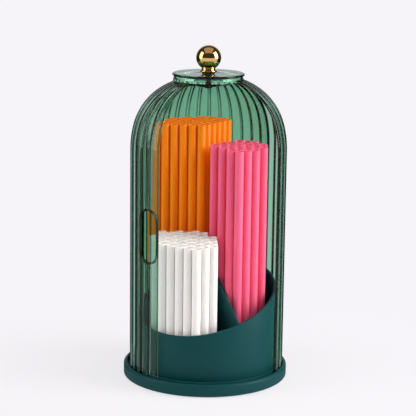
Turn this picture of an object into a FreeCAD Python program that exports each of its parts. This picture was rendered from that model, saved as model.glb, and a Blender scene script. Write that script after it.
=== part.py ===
import FreeCAD, Part
import math
import os
import re
import Sketcher
from FreeCAD import Placement, Rotation, Vector

# A domed straw organiser on a turntable. Millimetres, +Z up, front along -Y.
# The origin is on the table, under the middle of the tray.
# Azimuths are turned from the front towards +X, so the front is 0 and the back 180 degrees.

doc = FreeCAD.newDocument("straw_organiser")
sheet = doc.addObject("Spreadsheet::Sheet", "sizes")

SIZES = {
    # turntable
    "pad_stand": 0.6, "pad_recess": 0.6, "pad_radius": 5.0, "pad_margin": 10.0, "pad_count": 4,
    "pad_circle": "=foot_radius - pad_margin",
    "foot_gap": 6.5, "foot_radius": "=tray_radius - tray_skirt - foot_gap",
    "foot_thickness": 2.4, "foot_hub_radius": 8.0, "foot_hub_height": 1.2,
    "ball_radius": 2.0, "ball_circle": 48.0, "ball_count": 16, "race_depth": 0.8,
    "running_clearance": 0.05, "cage_width": 9.0, "cage_thickness": 1.5, "cage_hole_clearance": 0.15,
    "pivot_radius": 3.0, "pivot_thread": 2.0, "pivot_head_radius": 5.2, "pivot_head_height": 1.1,
    "pivot_recess_radius": 6.2, "pivot_recess_height": 1.4, "pivot_grip": 3.4, "bush_wall": 1.5,
    "washer_thickness": 0.5, "hub_clearance": 0.1,
    # tray
    "tray_radius": 75.0, "tray_height": 12.0, "ground_gap": 1.0, "tray_skirt": 2.5,
    "tray_floor": 3.0, "channel_depth": 4.5, "ledge_drop": 0.4, "rim_width": 3.2, "rim_gap": 0.4,
    "ledge_width": 3.2, "ledge_gap": 0.3,
    "rim_round": 2.6, "lip_round": 0.5, "skirt_round": 0.8, "tray_hub_radius": 6.5,
    # cup with its slanted rim, and the three-winged divider that stands in it
    "cup_radius": "=shell_radius - shell_wall - ledge_gap - ledge_width - cup_gap",
    "cup_wall": 2.0, "cup_floor": 2.0, "cup_gap": 0.3, "cup_round": 1.2,
    "rim_middle": 73.5, "rim_slope": 19.2,
    "wing_thickness": 1.8, "wing_clearance": 0.3, "wing_spread": 60.0, "peak_height": 114.9,
    # fluted shells
    "shell_radius": "=tray_radius - rim_width - rim_gap - shell_gap - shell_wall",
    "shell_wall": 1.6, "shell_gap": 0.4, "straight_top": 210.0,
    "shoulder_radius": 90.3, "shoulder_angle": 13.9, "crown_radius": 55.0,
    "crown_radial": "=shell_radius - shoulder_radius"
                    " + (shoulder_radius - crown_radius) * cos(shoulder_angle)",
    "crown_height": "=straight_top + (shoulder_radius - crown_radius) * sin(shoulder_angle)",
    "flute_pitch": 9.0, "rear_flutes": 19, "door_flutes": 22, "valley_radius": 1.3, "valley_depth": 0.7,
    "tab_angle": 6.0, "tab_spread": 150.0, "tab_count": 3, "tab_thickness": 1.0, "tab_length": 1.8,
    "tab_clearance": 0.15,
    # door
    "door_lead": -6.5, "door_closing": 105.5, "door_opening": 74.5, "door_lift": 0.4,
    "stop_radius": 1.5, "stop_azimuth": 180.0, "stop_clearance": 0.4, "stop_land": 1.6,
    "stop_circle": "=slip_washer_radius + stop_land + stop_clearance + stop_radius",
    "hub_land": 3.1, "hub_ring_radius": "=stop_circle + stop_radius + stop_clearance + hub_land",
    "pull_setback": 11.2, "pull_height": 138.4, "pull_width": 23.6, "pull_length": 48.0,
    "pull_depth": 2.0, "pull_rim": 1.2, "pull_floor": 1.4,
    # top
    "collar_radius": 30.8, "collar_wall": 1.8, "ring_lip": 0.7, "seat_step": 1.3,
    "rear_top": "=crown_height + seat_step + sqrt((crown_radius + shell_gap + shell_wall)^2"
                " - (collar_radius + ring_lip - crown_radial)^2)",
    "disc_radius": 32.2, "disc_thickness": 2.2, "disc_round": 0.8,
    "collar_height": 2.5, "disc_top": "=rear_top + collar_height + disc_thickness",
    "disc_boss_radius": 13.0, "hub_bush_radius": 7.0, "slip_washer_radius": 12.0,
    "lower_slip": 0.5, "slip_clearance": 0.05,
    "screw_radius": 2.0, "screw_clearance": 0.2, "screw_head_radius": 4.0, "screw_head_height": 2.4,
    "screw_washer_thickness": 1.0, "screw_reach": 8.0,
    "gasket_thickness": 0.3, "gasket_radius": 5.6,
    # knob
    "knob_foot_radius": 6.2, "knob_foot_height": 0.3, "knob_waist_radius": 5.8, "knob_waist_height": 0.7,
    "knob_ring_radius": 7.7, "knob_ring_height": 1.5, "knob_neck_radius": 6.0, "knob_neck_height": 1.3,
    "knob_neck_length": 0.5, "knob_ball_radius": 11.1,
    # drinking straws
    "straw_radius": 4.0, "straw_wall": 0.4, "straw_stand": 0.1,
    "white_length": 124.6, "pink_length": 203.0, "orange_length": 220.2,
    "white_pitch": 8.6, "pink_pitch": 8.4, "orange_pitch": 8.2,
    "white_circle": 32.0, "pink_circle": 21.0, "orange_circle": 33.5,
    "white_bundle": 36.0, "pink_bundle": 35.0, "orange_bundle": 41.0,
    "white_turn": 3.5, "pink_turn": 1.5, "orange_turn": 26.5,
}

for row, alias in enumerate(SIZES, start=1):
    sheet.set(f"A{row}", alias)
    sheet.setAlias(f"B{row}", alias)
for row, content in enumerate(SIZES.values(), start=1):
    sheet.set(f"B{row}", str(content))
doc.recompute()

# Places that follow from the sizes, as formulas of the sheet's names.
FOOT_TOP = "(pad_stand + foot_thickness)"
RACE_RADIUS = "(ball_radius + running_clearance)"
BALL_HEIGHT = f"({FOOT_TOP} - race_depth + {RACE_RADIUS})"
RACE_HALF_WIDTH = f"sqrt({RACE_RADIUS}^2 - ({RACE_RADIUS} - race_depth)^2)"
UNDERSIDE = f"({BALL_HEIGHT} + {RACE_RADIUS} - race_depth)"
RECESS_TOP = "(pad_stand + pivot_recess_height)"
PIVOT_SEAT = f"({FOOT_TOP} + foot_hub_height + hub_clearance)"
SEAT = f"({UNDERSIDE} + tray_floor)"
CHANNEL = "(tray_height - channel_depth)"
CUP_INNER = "(cup_radius - cup_wall)"
CUP_INSIDE = f"({SEAT} + cup_floor)"
REAR_OFFSET = "(shell_gap + shell_wall)"
REAR_OUTER = f"(shell_radius + {REAR_OFFSET})"
REAR_MIDDLE = f"({REAR_OUTER} - shell_wall / 2)"
DOOR_INNER = "(shell_radius - shell_wall)"
RIM_INNER = f"({REAR_OUTER} + rim_gap)"
LEDGE_OUTER = f"({DOOR_INNER} - ledge_gap)"
LEDGE_INNER = "(cup_radius + cup_gap)"
RING_RADIUS = "(collar_radius + ring_lip)"
REAR_SPAN = "(rear_flutes * flute_pitch)"
DOOR_SPAN = "(door_flutes * flute_pitch)"
REAR_START = f"(90 - {REAR_SPAN} / 2)"
DOOR_START = f"(270 + door_lead - {DOOR_SPAN})"
VALLEY_OFFSET = "(valley_radius - valley_depth)"


def crown_top(offset, radius=RING_RADIUS):
    """Height of a dome's crown at a radius, for a surface at this offset from the door's."""
    return f"(crown_height + sqrt((crown_radius + {offset})^2 - ({radius} - crown_radial)^2))"


REAR_UNDER = "(rear_top - shell_wall)"
DOOR_TOP = crown_top("0")
DOOR_UNDER = f"({DOOR_TOP} - shell_wall)"
HUB_FOOT = f"({DOOR_UNDER} - slip_clearance - lower_slip)"
KNOB_FOOT = "(disc_top + gasket_thickness)"
SCREW_BORE = "(screw_radius + screw_clearance)"

NAMES = re.compile(r"\b(" + "|".join(sorted(SIZES, key=len, reverse=True)) + r")\b")


def bind(formula):
    """The formula with each size written as a cell of the sheet."""
    return NAMES.sub(r"sizes.\1", str(formula))


def value(formula):
    """What the formula gives with the sheet's present sizes."""
    return float(sheet.evalExpression(str(formula)))


# ---------------------------------------------------------------- sketches and features

def origin(body, role):
    return next(item for item in body.Origin.OriginFeatures if item.Role == role)


def new_body(label):
    body = doc.addObject("PartDesign::Body", label)
    body.Label = label
    return body


def new_sketch(body, name, role="XZ_Plane", height=None, turn=None):
    """A sketch on an origin plane, raised by height, or turned about Z where it is upright."""
    sketch = body.newObject("Sketcher::SketchObject", name)
    sketch.AttachmentSupport = [(origin(body, role), "")]
    sketch.MapMode = "FlatFace"
    if height is not None:
        sketch.setExpression("AttachmentOffset.Base.z", bind(height))
    if turn is not None:
        sketch.AttachmentOffset = Placement(Vector(), Rotation(Vector(0, 1, 0), 1.0))
        sketch.setExpression("AttachmentOffset.Rotation.Angle", bind(turn))
    return sketch


def dimension(sketch, constraint, formula):
    """Adds a constraint that takes its size from the sheet."""
    index = sketch.addConstraint(constraint)
    name = f"size_{index}"
    sketch.renameConstraint(index, name)
    sketch.setExpression(f"Constraints.{name}", bind(formula))


def place_point(sketch, geometry, end, across, up):
    """Ties one end of a sketch line or arc to the formulas of its place."""
    for kind, formula, axis in (("DistanceX", across, -2), ("DistanceY", up, -1)):
        if str(formula) == "0":
            sketch.addConstraint(Sketcher.Constraint("PointOnObject", geometry, end, axis))
        else:
            constraint = Sketcher.Constraint(kind, -1, 1, geometry, end, value(formula))
            dimension(sketch, constraint, formula)


def arc_between(start, end, radius):
    """The short arc from start to end, turning left for a positive radius and right for a negative one."""
    half = (end - start) * 0.5
    reach = math.sqrt(max(radius * radius - half.Length ** 2, 0.0))
    side = Vector(-half.y, half.x, 0).normalize() * reach * (1 if radius > 0 else -1)
    centre = start + half + side
    first, last = (start, end) if radius > 0 else (end, start)
    angles = [math.atan2(point.y - centre.y, point.x - centre.x) for point in (first, last)]
    return Part.ArcOfCircle(Part.Circle(centre, Vector(0, 0, 1), abs(radius)), angles[0], angles[1])


def draw(sketch, corners, closed=True):
    """Lines and arcs through corners (across, up[, radius of the arc that leaves the corner])."""
    points = [Vector(value(corner[0]), value(corner[1]), 0) for corner in corners]
    ends = []
    count = len(corners) if closed else len(corners) - 1
    for index in range(count):
        start, end = points[index], points[(index + 1) % len(points)]
        if len(corners[index]) > 2:
            sign, formula = corners[index][2]
            radius = value(formula)
            geometry = sketch.addGeometry(arc_between(start, end, sign * radius), False)
            dimension(sketch, Sketcher.Constraint("Radius", geometry, radius), formula)
            ends.append((geometry, (1, 2) if sign > 0 else (2, 1)))
        else:
            ends.append((sketch.addGeometry(Part.LineSegment(start, end), False), (1, 2)))
    for index, (geometry, (first, last)) in enumerate(ends):
        place_point(sketch, geometry, first, corners[index][0], corners[index][1])
        if index + 1 < len(ends) or closed:
            after, (after_first, _) = ends[(index + 1) % len(ends)]
            sketch.addConstraint(Sketcher.Constraint("Coincident", geometry, last, after, after_first))
        else:
            place_point(sketch, geometry, last, corners[-1][0], corners[-1][1])


def draw_circle(sketch, across, up, radius):
    circle = Part.Circle(Vector(value(across), value(up), 0), Vector(0, 0, 1), value(radius))
    geometry = sketch.addGeometry(circle, False)
    dimension(sketch, Sketcher.Constraint("Radius", geometry, value(radius)), radius)
    place_point(sketch, geometry, 3, across, up)


def turned(body, name, corners, angle=None, turn=None, cut=False):
    """A revolution about Z, or a groove, of a closed outline given as radius and height."""
    sketch = new_sketch(body, f"{name}_outline", turn=turn)
    draw(sketch, corners)
    doc.recompute()
    feature = body.newObject("PartDesign::Groove" if cut else "PartDesign::Revolution", name)
    feature.Profile = sketch
    feature.ReferenceAxis = (origin(body, "Z_Axis"), [""])
    feature.Angle = 360
    if angle is not None:
        feature.setExpression("Angle", bind(angle))
    sketch.Visibility = False
    doc.recompute()
    return feature


def raised(body, name, sketch, length, cut=False, symmetric=False):
    """A pad, or a pocket, of a finished sketch."""
    feature = body.newObject("PartDesign::Pocket" if cut else "PartDesign::Pad", name)
    feature.Profile = sketch
    feature.setExpression("Length", bind(length))
    if symmetric:
        feature.Midplane = True
    doc.recompute()
    return feature


def patterned(body, name, feature, count, angle=None):
    """Copies of a feature round Z, evenly over the angle or over a full turn."""
    pattern = body.newObject("PartDesign::PolarPattern", name)
    pattern.Originals = [feature]
    pattern.Axis = (origin(body, "Z_Axis"), [""])
    pattern.Angle = 360
    if angle is not None:
        pattern.setExpression("Angle", bind(angle))
    pattern.setExpression("Occurrences", bind(count))
    body.Tip = pattern
    doc.recompute()
    return pattern


def turn_body(body, angle):
    body.Placement = Placement(Vector(), Rotation(Vector(0, 0, 1), 1.0))
    body.setExpression("Placement.Rotation.Angle", bind(angle))


def ring(inner, outer, bottom, top):
    """The rectangular outline of a washer, sleeve or plate."""
    return [(inner, bottom), (outer, bottom), (outer, top), (inner, top)]


def washer(label, inner, outer, bottom, top):
    body = new_body(label)
    turned(body, f"{label}_ring", ring(inner, outer, bottom, top))
    return body


# ---------------------------------------------------------------- turntable

def make_foot_disc():
    body = new_body("foot_disc")
    bush_outer = "(pivot_radius + running_clearance + bush_wall)"
    turned(body, "foot_plate", [
        ("pivot_recess_radius", "pad_stand"),
        ("foot_radius", "pad_stand"),
        ("foot_radius", FOOT_TOP),
        (f"(ball_circle + {RACE_HALF_WIDTH})", FOOT_TOP, (-1, RACE_RADIUS)),
        (f"(ball_circle - {RACE_HALF_WIDTH})", FOOT_TOP),
        ("foot_hub_radius", FOOT_TOP),
        ("foot_hub_radius", f"({FOOT_TOP} + foot_hub_height)"),
        (bush_outer, f"({FOOT_TOP} + foot_hub_height)"),
        (bush_outer, RECESS_TOP),
        ("pivot_recess_radius", RECESS_TOP),
    ])
    socket = new_sketch(body, "pad_socket_outline", "XY_Plane", height="(pad_stand + pad_recess)")
    draw_circle(socket, "pad_circle", "0", "pad_radius")
    doc.recompute()
    pocket = raised(body, "pad_socket", socket, "(pad_recess + pad_stand)", cut=True)
    patterned(body, "pad_sockets", pocket, "pad_count")
    return body


def make_foot_pads():
    body = new_body("foot_pads")
    outline = new_sketch(body, "pad_outline", "XY_Plane")
    draw_circle(outline, "pad_circle", "0", "pad_radius")
    doc.recompute()
    pad = raised(body, "pad", outline, "(pad_stand + pad_recess)")
    body.AllowCompound = True
    patterned(body, "pads", pad, "pad_count")
    return body


def make_pivot():
    bore = "(pivot_radius + running_clearance)"
    bush = washer("pivot_bush", bore, f"({bore} + bush_wall)", RECESS_TOP, f"({FOOT_TOP} + foot_hub_height)")
    washer_top = f"({RECESS_TOP} - running_clearance)"
    washer_foot = f"({washer_top} - washer_thickness)"
    plain = washer("pivot_washer", bore, "pivot_head_radius", washer_foot, washer_top)
    screw = new_body("pivot_screw")
    turned(screw, "shoulder_screw", [
        ("0", f"({washer_foot} - pivot_head_height)"),
        ("pivot_head_radius", f"({washer_foot} - pivot_head_height)"),
        ("pivot_head_radius", washer_foot),
        ("pivot_radius", washer_foot),
        ("pivot_radius", PIVOT_SEAT),
        ("pivot_thread", PIVOT_SEAT),
        ("pivot_thread", f"({PIVOT_SEAT} + pivot_grip)"),
        ("0", f"({PIVOT_SEAT} + pivot_grip)"),
    ])
    return [bush, plain, screw]


def make_ball_cage():
    body = new_body("ball_cage")
    middle = f"({FOOT_TOP} + {UNDERSIDE}) / 2"
    bottom, top = f"({middle} - cage_thickness / 2)", f"({middle} + cage_thickness / 2)"
    turned(body, "cage_ring", ring(
        "(ball_circle - cage_width / 2)", "(ball_circle + cage_width / 2)", bottom, top))
    outline = new_sketch(body, "ball_hole_outline", "XY_Plane", height=top)
    draw_circle(outline, "ball_circle", "0", "(ball_radius + cage_hole_clearance)")
    doc.recompute()
    hole = raised(body, "ball_hole", outline, "cage_thickness", cut=True)
    patterned(body, "ball_holes", hole, "ball_count")
    return body


def make_bearing_balls():
    body = new_body("bearing_balls")
    turned_sketch = new_sketch(body, "ball_outline", "XZ_Plane")
    draw(turned_sketch, [
        ("ball_circle", f"({BALL_HEIGHT} - ball_radius)", (1, "ball_radius")),
        ("(ball_circle + ball_radius)", BALL_HEIGHT, (1, "ball_radius")),
        ("ball_circle", f"({BALL_HEIGHT} + ball_radius)"),
    ])
    doc.recompute()
    ball = body.newObject("PartDesign::Revolution", "ball")
    ball.Profile = turned_sketch
    ball.ReferenceAxis = (turned_sketch, ["Edge3"])
    ball.Angle = 360
    doc.recompute()
    body.AllowCompound = True
    patterned(body, "balls", ball, "ball_count")
    return body


# ---------------------------------------------------------------- tray, cup and divider

def make_base_tray():
    body = new_body("base_tray")
    turned(body, "tray", [
        ("pivot_thread", PIVOT_SEAT),
        ("tray_hub_radius", PIVOT_SEAT),
        ("tray_hub_radius", UNDERSIDE),
        (f"(ball_circle - {RACE_HALF_WIDTH})", UNDERSIDE, (-1, RACE_RADIUS)),
        (f"(ball_circle + {RACE_HALF_WIDTH})", UNDERSIDE),
        ("(tray_radius - tray_skirt)", UNDERSIDE),
        ("(tray_radius - tray_skirt)", "ground_gap"),
        ("(tray_radius - skirt_round)", "ground_gap", (1, "skirt_round")),
        ("tray_radius", "(ground_gap + skirt_round)"),
        ("tray_radius", "(tray_height - rim_round)", (1, "rim_round")),
        ("(tray_radius - rim_round)", "tray_height"),
        (f"({RIM_INNER} + lip_round)", "tray_height", (1, "lip_round")),
        (RIM_INNER, "(tray_height - lip_round)"),
        (RIM_INNER, CHANNEL),
        (LEDGE_OUTER, CHANNEL),
        (LEDGE_OUTER, "(tray_height - ledge_drop)"),
        (LEDGE_INNER, "(tray_height - ledge_drop)"),
        (LEDGE_INNER, SEAT),
        ("pivot_thread", SEAT),
    ])
    slot_start = f"({REAR_START} + ({REAR_SPAN} - tab_spread) / 2 - tab_angle / 2 - tab_clearance)"
    slot = turned(body, "tab_slot", ring(
        f"({REAR_MIDDLE} - tab_thickness / 2 - tab_clearance)",
        f"({REAR_MIDDLE} + tab_thickness / 2 + tab_clearance)",
        UNDERSIDE, CHANNEL), angle="(tab_angle + 2 * tab_clearance)", turn=slot_start, cut=True)
    patterned(body, "tab_slots", slot, "tab_count", "tab_spread")
    return body


def make_cup():
    body = new_body("cup")
    edge = "(cup_radius + cup_wall)"
    low, high = (f"(rim_middle {sign} {edge} * tan(rim_slope))" for sign in "-+")
    tall = f"({high} + cup_wall)"
    turned(body, "cup_wall", [
        ("0", SEAT),
        ("(cup_radius - cup_round)", SEAT, (1, "cup_round")),
        ("cup_radius", f"({SEAT} + cup_round)"),
        ("cup_radius", tall),
        (CUP_INNER, tall),
        (CUP_INNER, CUP_INSIDE),
        ("0", CUP_INSIDE),
    ])
    side = new_sketch(body, "slanted_cut_outline", "YZ_Plane")
    above = f"({tall} + cup_wall)"
    draw(side, [(f"(0 - {edge})", low), (edge, high), (edge, above), (f"(0 - {edge})", above)])
    doc.recompute()
    raised(body, "slanted_cut", side, f"(2 * {edge})", cut=True, symmetric=True)
    return body


def make_divider():
    body = new_body("divider")
    reach = f"({CUP_INNER} - wing_clearance)"
    foot = CUP_INSIDE
    for name, azimuth in (("right", "wing_spread"), ("left", "(0 - wing_spread)"), ("rear", "180")):
        rim = f"(rim_middle - {reach} * cos({azimuth}) * tan(rim_slope))"
        outline = new_sketch(body, f"{name}_wing_outline", turn=f"({azimuth} - 90)")
        draw(outline, [("0", foot), (reach, foot), (reach, rim), ("0", "peak_height")])
        doc.recompute()
        raised(body, f"{name}_wing", outline, "wing_thickness", symmetric=True)
    return body


# ---------------------------------------------------------------- fluted shells

def dome_line(offset, foot, end, end_height):
    """Corners of a shell's upright line, shoulder arc and crown arc, up to the end on the crown."""
    shoulder, crown = f"(shoulder_radius + {offset})", f"(crown_radius + {offset})"
    return [
        (f"(shell_radius + {offset})", foot),
        (f"(shell_radius + {offset})", "straight_top", (1, shoulder)),
        (f"(shell_radius - shoulder_radius + {shoulder} * cos(shoulder_angle))",
         f"(straight_top + {shoulder} * sin(shoulder_angle))", (1, crown)),
        (end, end_height),
    ]


def reversed_line(corners):
    """The same corners run the other way, with each arc kept on its own span."""
    turned_round = []
    for index in range(len(corners) - 1, -1, -1):
        arc = corners[index - 1][2:] if index else ()
        turned_round.append(corners[index][:2] + tuple((-sign, radius) for sign, radius in arc))
    return turned_round


def fluted_wall(body, offset, foot, flutes):
    """The part-turn wall of a shell with its shallow valleys, and the edge of its flat top plate."""
    top = crown_top(offset)
    under = f"({top} - shell_wall)"
    inner_offset = f"({offset} - shell_wall)"
    inner_end = f"(crown_radial + sqrt((crown_radius + {inner_offset})^2 - ({under} - crown_height)^2))"
    span = f"({flutes} * flute_pitch)"
    overlap = "(2 * shell_wall)"
    corners = dome_line(offset, foot, RING_RADIUS, top)
    corners += [(f"({RING_RADIUS} - {overlap})", top), (f"({RING_RADIUS} - {overlap})", under)]
    corners += reversed_line(dome_line(inner_offset, foot, inner_end, under))
    turned(body, "wall", corners, angle=span)
    tool_offset = f"({offset} + {VALLEY_OFFSET})"
    path = new_sketch(body, "valley_path")
    start, end = f"({foot} - 2 * valley_radius)", f"({RING_RADIUS} - 2 * valley_radius)"
    draw(path, dome_line(tool_offset, start, end, crown_top(tool_offset, end)), closed=False)
    section = new_sketch(body, "valley_section", "XY_Plane", height=start)
    draw_circle(section, f"(shell_radius + {tool_offset})", "0", "valley_radius")
    doc.recompute()
    valley = body.newObject("PartDesign::SubtractivePipe", "valley")
    valley.Profile = section
    valley.Spine = (path, ["Edge1", "Edge2", "Edge3"])
    doc.recompute()
    patterned(body, "valleys", valley, f"({flutes} + 1)", span)


def make_rear_shell():
    body = new_body("rear_shell")
    fluted_wall(body, REAR_OFFSET, CHANNEL, "rear_flutes")
    turned(body, "top_plate", ring(SCREW_BORE, RING_RADIUS, REAR_UNDER, "rear_top"))
    # The stop reaches down through the door's plate and is flush with its underside.
    stop = new_sketch(body, "stop_outline", "XY_Plane", height=DOOR_UNDER)
    stop_turn = f"(stop_azimuth - 90 - {REAR_START})"
    draw_circle(stop, f"(stop_circle * cos({stop_turn}))", f"(stop_circle * sin({stop_turn}))", "stop_radius")
    doc.recompute()
    raised(body, "door_stop", stop, f"(rear_top - {DOOR_UNDER} - shell_wall / 2)")
    tab = turned(body, "tab", ring(
        f"({REAR_MIDDLE} - tab_thickness / 2)", f"({REAR_MIDDLE} + tab_thickness / 2)",
        f"({CHANNEL} - tab_length)", f"({CHANNEL} + shell_wall)"),
        angle="tab_angle", turn=f"(({REAR_SPAN} - tab_spread) / 2 - tab_angle / 2)")
    patterned(body, "tabs", tab, "tab_count", "tab_spread")
    turn_body(body, REAR_START)
    return body


def pull_oval(name, outset, inner_radius, outer_radius):
    """A stadium at the finger pull, between two radii about Z."""
    prism = new_body(f"{name}_prism")
    oval = new_sketch(prism, f"{name}_outline", "YZ_Plane")
    half = f"(pull_width / 2 + {outset})"
    top = "(pull_height + (pull_length - pull_width) / 2)"
    low = "(pull_height - (pull_length - pull_width) / 2)"
    draw(oval, [
        (half, low), (half, top, (1, half)),
        ("0", f"({top} + {half})", (1, half)), (f"(0 - {half})", top),
        (f"(0 - {half})", low, (1, half)), ("0", f"({low} - {half})", (1, half)),
    ])
    doc.recompute()
    raised(prism, f"{name}_pad", oval, "(2 * shell_radius)")
    turn_body(prism, "(door_lead - pull_setback - 90)")
    cylinders = []
    for side, radius in (("outside", outer_radius), ("inside", inner_radius)):
        cylinder = doc.addObject("Part::Cylinder", f"{name}_{side}")
        cylinder.setExpression("Radius", bind(radius))
        cylinder.setExpression("Height", bind("straight_top"))
        cylinders.append(cylinder)
    band = doc.addObject("Part::Cut", f"{name}_band")
    band.Base, band.Tool = cylinders
    oval_solid = doc.addObject("Part::Common", name)
    oval_solid.Base, oval_solid.Tool = prism, band
    return oval_solid


def make_door_shell():
    body = new_body("door_wall")
    fluted_wall(body, "0", f"({CHANNEL} + door_lift)", "door_flutes")
    turned(body, "top_plate", ring("(hub_ring_radius - shell_wall)", RING_RADIUS, DOOR_UNDER, DOOR_TOP),
           angle=DOOR_SPAN)
    turned(body, "hub_ring", ring("(hub_bush_radius + running_clearance)", "hub_ring_radius",
                                  DOOR_UNDER, DOOR_TOP))
    # The arc slot runs past the fixed stop by its radius and a clearance at both ends of the travel.
    margin = "((stop_radius + stop_clearance) / stop_circle * 180 / pi)"
    slot = ring("(stop_circle - stop_radius - stop_clearance)",
                "(stop_circle + stop_radius + stop_clearance)", DOOR_UNDER, DOOR_TOP)
    turned(body, "stop_slot", slot, angle=f"(door_closing + door_opening + 2 * {margin})",
           turn=f"(stop_azimuth - 90 - door_closing - {margin} - {DOOR_START})", cut=True)
    turn_body(body, DOOR_START)

    # The finger pull is a dish: a thicker back inside the wall, hollowed from the outside.
    floor = "(shell_radius - pull_depth)"
    back = pull_oval("pull_back", "pull_rim", f"({floor} - pull_floor)", f"({DOOR_INNER} + shell_wall / 2)")
    hollow = pull_oval("pull_hollow", "0", floor, "(shell_radius + shell_wall)")
    backed = doc.addObject("Part::Fuse", "door_with_back")
    backed.Base, backed.Tool = body, back
    door = doc.addObject("Part::Cut", "door_shell")
    door.Base, door.Tool = backed, hollow
    door.Label = "door_shell"
    doc.recompute()
    return door


# ---------------------------------------------------------------- top disc, hub and knob

def make_top():
    disc = new_body("top_disc")
    under = "(disc_top - disc_thickness)"
    turned(disc, "disc", [
        (SCREW_BORE, "rear_top"),
        ("disc_boss_radius", "rear_top"),
        ("disc_boss_radius", under),
        ("(collar_radius - collar_wall)", under),
        ("(collar_radius - collar_wall)", "rear_top"),
        ("collar_radius", "rear_top"),
        ("collar_radius", under),
        ("(disc_radius - disc_round)", under, (1, "disc_round")),
        ("disc_radius", f"({under} + disc_round)"),
        ("disc_radius", "(disc_top - disc_round)", (1, "disc_round")),
        ("(disc_radius - disc_round)", "disc_top"),
        (SCREW_BORE, "disc_top"),
    ])
    # The door's hub ring turns on the bush, between a thin washer below and a thick one above.
    bush = washer("hub_bush", SCREW_BORE, "hub_bush_radius", HUB_FOOT, REAR_UNDER)
    slips = new_body("slip_washers")
    bore = "(hub_bush_radius + running_clearance)"
    turned(slips, "lower_slip_washer", ring(
        bore, "slip_washer_radius", HUB_FOOT, f"({HUB_FOOT} + lower_slip)"))
    slips.AllowCompound = True
    turned(slips, "upper_slip_washer", ring(
        bore, "slip_washer_radius", f"({DOOR_TOP} + slip_clearance)", REAR_UNDER))
    return [disc, bush, slips]


def make_knob():
    knob = new_body("knob")
    foot_top = f"({KNOB_FOOT} + knob_foot_height)"
    waist_top = f"({KNOB_FOOT} + knob_waist_height)"
    ring_top = f"({waist_top} + knob_ring_height)"
    ring_reach = "(knob_ring_radius - knob_ring_height / 2)"
    neck_low = f"({ring_top} + knob_neck_height)"
    ball_start = f"({neck_low} + knob_neck_length)"
    centre = f"({ball_start} + sqrt(knob_ball_radius^2 - knob_neck_radius^2))"
    hole_top = f"({KNOB_FOOT} + screw_reach)"
    turned(knob, "turned_knob", [
        ("screw_radius", KNOB_FOOT),
        ("knob_foot_radius", KNOB_FOOT),
        ("knob_foot_radius", foot_top),
        ("knob_waist_radius", waist_top),
        (ring_reach, waist_top, (1, "(knob_ring_height / 2)")),
        ("knob_ring_radius", f"({waist_top} + knob_ring_height / 2)", (1, "(knob_ring_height / 2)")),
        (ring_reach, ring_top),
        ("knob_neck_radius", neck_low),
        ("knob_neck_radius", ball_start, (1, "knob_ball_radius")),
        ("knob_ball_radius", centre, (1, "knob_ball_radius")),
        ("0", f"({centre} + knob_ball_radius)"),
        ("0", hole_top),
        ("screw_radius", hole_top),
    ])
    gasket = washer("knob_gasket", SCREW_BORE, "gasket_radius", "disc_top", KNOB_FOOT)
    washer_foot = f"({HUB_FOOT} - screw_washer_thickness)"
    plain = washer("screw_washer", SCREW_BORE, "slip_washer_radius", washer_foot, HUB_FOOT)
    screw = new_body("knob_screw")
    head_foot = f"({washer_foot} - screw_head_height)"
    turned(screw, "pan_head_screw", [
        ("0", head_foot),
        ("(screw_head_radius - screw_head_height / 2)", head_foot, (1, "(screw_head_height / 2)")),
        ("screw_head_radius", f"({head_foot} + screw_head_height / 2)"),
        ("screw_head_radius", washer_foot),
        ("screw_radius", washer_foot),
        ("screw_radius", hole_top),
        ("0", hole_top),
    ])
    return [knob, gasket, plain, screw]


# ---------------------------------------------------------------- straws

def straw_places(colour, first_wing, last_wing):
    """Centres of a close-packed bundle between two wings, clear of them and of the cup's wall."""
    pitch, radius = value(f"{colour}_pitch"), value("straw_radius")
    row = pitch * math.sin(math.radians(60))
    clearance = value("wing_clearance")
    wings = [math.radians(value(azimuth)) for azimuth in (first_wing, last_wing)]
    middle_angle, half_angle = sum(wings) / 2, abs(wings[1] - wings[0]) / 2
    middle = Vector(math.sin(middle_angle), -math.cos(middle_angle), 0) * value(f"{colour}_circle")
    turn = Rotation(Vector(0, 0, 1), value(f"{colour}_turn"))
    bundle = value(f"{colour}_bundle")
    wing_room = value("wing_thickness") / 2 + clearance + radius
    cup_room = value(CUP_INNER) - clearance - radius
    reach = math.ceil(bundle / row)
    places = []
    for line in range(-reach, reach + 1):
        for step in range(-reach, reach + 1):
            spot = Vector((step + (line % 2) / 2) * pitch, line * row, 0)
            place = middle + turn.multVec(spot)
            near_wing = False
            for wing in wings:
                along = Vector(math.sin(wing), -math.cos(wing), 0)
                if place.dot(along) > -radius and abs(place.cross(along).z) < wing_room:
                    near_wing = True
            between = math.cos(math.atan2(place.x, -place.y) - middle_angle) >= math.cos(half_angle)
            in_bundle = spot.Length <= bundle - radius
            if in_bundle and place.Length <= cup_room and between and not near_wing:
                places.append(place)
    return places


def make_straws(colour, first_wing, last_wing):
    label, length = f"{colour}_straws", f"{colour}_length"
    foot = Vector(0, 0, value(CUP_INSIDE) + value("straw_stand"))
    outer = Part.makeCylinder(value("straw_radius"), value(length))
    straw = outer.cut(Part.makeCylinder(value("straw_radius") - value("straw_wall"), value(length)))
    feature = doc.addObject("Part::Feature", label)
    feature.Label = label
    places = straw_places(colour, first_wing, last_wing)
    feature.Shape = Part.makeCompound([straw.translated(foot + place) for place in places])
    return feature


# ---------------------------------------------------------------- build, check and write

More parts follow.
